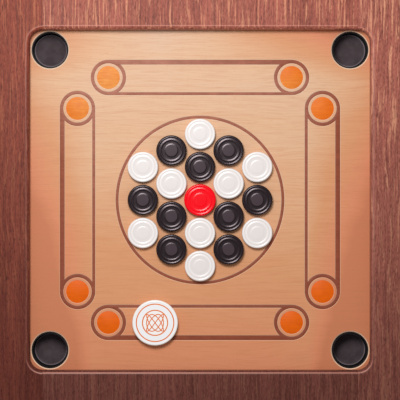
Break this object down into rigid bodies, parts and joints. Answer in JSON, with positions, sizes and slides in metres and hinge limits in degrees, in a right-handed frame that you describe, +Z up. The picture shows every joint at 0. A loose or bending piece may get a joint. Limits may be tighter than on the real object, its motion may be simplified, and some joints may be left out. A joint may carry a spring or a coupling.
{
  "type": "carrom board",
  "caption": "Square wooden carrom board with corner pockets, inlaid playing marks, and ringed men, queen and striker set out for a game.",
  "frame": {"origin": "centre of the board on the table surface that its feet stand on", "axes": "+Z up out of the playing surface, +X to the player's right, +Y away from the player who uses the front base line"},
  "size_m": [0.412, 0.412, 0.047],
  "materials": {
    "stained_frame_wood": "semi-gloss varnish over a reddish brown stain, straight grain",
    "plain_softwood": "planed and unfinished",
    "lacquered_plywood": "clear satin lacquer over pale veneer",
    "brown_lacquer": "satin lacquer filling a routed groove",
    "orange_lacquer": "satin lacquer filling a routed recess",
    "zinc_plated_screw": "bright zinc plating",
    "black_pocket_plastic": "fine moulded texture",
    "soft_rubber": "matt",
    "white_man_plastic": "polished, moulded rings",
    "black_man_plastic": "polished, moulded rings",
    "red_queen_plastic": "polished, moulded rings",
    "striker_acrylic": "polished, with printed rings and lattice"
  },
  "bodies": {
    "board": {"frame_stile_left": "stained_frame_wood", "frame_stile_right": "stained_frame_wood", "frame_rail_back": "stained_frame_wood", "frame_rail_front": "stained_frame_wood", "frame_dowels": "plain_softwood", "playing_surface": "lacquered_plywood", "centre_circle_line": "brown_lacquer", "queen_spot": "orange_lacquer", "base_circle_discs": "orange_lacquer", "base_lines_back": "brown_lacquer", "base_lines_right": "brown_lacquer", "base_lines_front": "brown_lacquer", "base_lines_left": "brown_lacquer", "batten_long": "plain_softwood", "batten_cross": "plain_softwood", "batten_screws": "zinc_plated_screw", "cleat_screws": "zinc_plated_screw", "cleat_back": "plain_softwood", "cleat_right": "plain_softwood", "cleat_front": "plain_softwood", "cleat_left": "plain_softwood", "pocket_cup_back_left": "black_pocket_plastic", "pocket_cup_back_right": "black_pocket_plastic", "pocket_cup_front_right": "black_pocket_plastic", "pocket_cup_front_left": "black_pocket_plastic", "pocket_liner_back_left": "soft_rubber", "pocket_liner_back_right": "soft_rubber", "pocket_liner_front_right": "soft_rubber", "pocket_liner_front_left": "soft_rubber", "pocket_screws": "zinc_plated_screw", "foot_back_left": "soft_rubber", "foot_back_right": "soft_rubber", "foot_front_right": "soft_rubber", "foot_front_left": "soft_rubber", "foot_screws": "zinc_plated_screw"},
    "white_man_1": {"white_man_1": "white_man_plastic"},
    "white_man_2": {"white_man_2": "white_man_plastic"},
    "white_man_3": {"white_man_3": "white_man_plastic"},
    "white_man_4": {"white_man_4": "white_man_plastic"},
    "white_man_5": {"white_man_5": "white_man_plastic"},
    "white_man_6": {"white_man_6": "white_man_plastic"},
    "white_man_7": {"white_man_7": "white_man_plastic"},
    "white_man_8": {"white_man_8": "white_man_plastic"},
    "white_man_9": {"white_man_9": "white_man_plastic"},
    "black_man_1": {"black_man_1": "black_man_plastic"},
    "black_man_2": {"black_man_2": "black_man_plastic"},
    "black_man_3": {"black_man_3": "black_man_plastic"},
    "black_man_4": {"black_man_4": "black_man_plastic"},
    "black_man_5": {"black_man_5": "black_man_plastic"},
    "black_man_6": {"black_man_6": "black_man_plastic"},
    "black_man_7": {"black_man_7": "black_man_plastic"},
    "black_man_8": {"black_man_8": "black_man_plastic"},
    "black_man_9": {"black_man_9": "black_man_plastic"},
    "queen": {"queen": "red_queen_plastic"},
    "striker": {"striker": "striker_acrylic"}
  },
  "joints": [
    {"name": "white_man_1_slide", "type": "slide", "parent": "board", "child": "white_man_1", "axis": [0, 1, 0], "range_m": [0, 0.09]},
    {"name": "white_man_2_slide", "type": "slide", "parent": "board", "child": "white_man_2", "axis": [0.866, 0.5, 0], "range_m": [0, 0.1142]},
    {"name": "white_man_3_slide", "type": "slide", "parent": "board", "child": "white_man_3", "axis": [0.866, -0.5, 0], "range_m": [0, 0.1142]},
    {"name": "white_man_4_slide", "type": "slide", "parent": "board", "child": "white_man_4", "axis": [0, -1, 0], "range_m": [0, 0.09]},
    {"name": "white_man_5_slide", "type": "slide", "parent": "board", "child": "white_man_5", "axis": [-0.866, -0.5, 0], "range_m": [0, 0.1142]},
    {"name": "white_man_6_slide", "type": "slide", "parent": "board", "child": "white_man_6", "axis": [-0.866, 0.5, 0], "range_m": [0, 0.1142]},
    {"name": "white_man_7_lift", "type": "slide", "parent": "board", "child": "white_man_7", "axis": [0, 0, 1], "range_m": [0, 0.06]},
    {"name": "white_man_8_lift", "type": "slide", "parent": "board", "child": "white_man_8", "axis": [0, 0, 1], "range_m": [0, 0.06]},
    {"name": "white_man_9_lift", "type": "slide", "parent": "board", "child": "white_man_9", "axis": [0, 0, 1], "range_m": [0, 0.06]},
    {"name": "black_man_1_slide", "type": "slide", "parent": "board", "child": "black_man_1", "axis": [0.5, 0.866, 0], "range_m": [0, 0.1232]},
    {"name": "black_man_2_slide", "type": "slide", "parent": "board", "child": "black_man_2", "axis": [1, 0, 0], "range_m": [0, 0.099]},
    {"name": "black_man_3_slide", "type": "slide", "parent": "board", "child": "black_man_3", "axis": [0.5, -0.866, 0], "range_m": [0, 0.062]},
    {"name": "black_man_4_slide", "type": "slide", "parent": "board", "child": "black_man_4", "axis": [-0.5, -0.866, 0], "range_m": [0, 0.041]},
    {"name": "black_man_5_slide", "type": "slide", "parent": "board", "child": "black_man_5", "axis": [-1, 0, 0], "range_m": [0, 0.099]},
    {"name": "black_man_6_slide", "type": "slide", "parent": "board", "child": "black_man_6", "axis": [-0.5, 0.866, 0], "range_m": [0, 0.1232]},
    {"name": "black_man_7_lift", "type": "slide", "parent": "board", "child": "black_man_7", "axis": [0, 0, 1], "range_m": [0, 0.06]},
    {"name": "black_man_8_lift", "type": "slide", "parent": "board", "child": "black_man_8", "axis": [0, 0, 1], "range_m": [0, 0.06]},
    {"name": "black_man_9_lift", "type": "slide", "parent": "board", "child": "black_man_9", "axis": [0, 0, 1], "range_m": [0, 0.06]},
    {"name": "queen_lift", "type": "slide", "parent": "board", "child": "queen", "axis": [0, 0, 1], "range_m": [0, 0.06]},
    {"name": "striker_slide", "type": "slide", "parent": "board", "child": "striker", "axis": [1, 0, 0], "range_m": [-0.0477, 0.1391]}
  ]
}
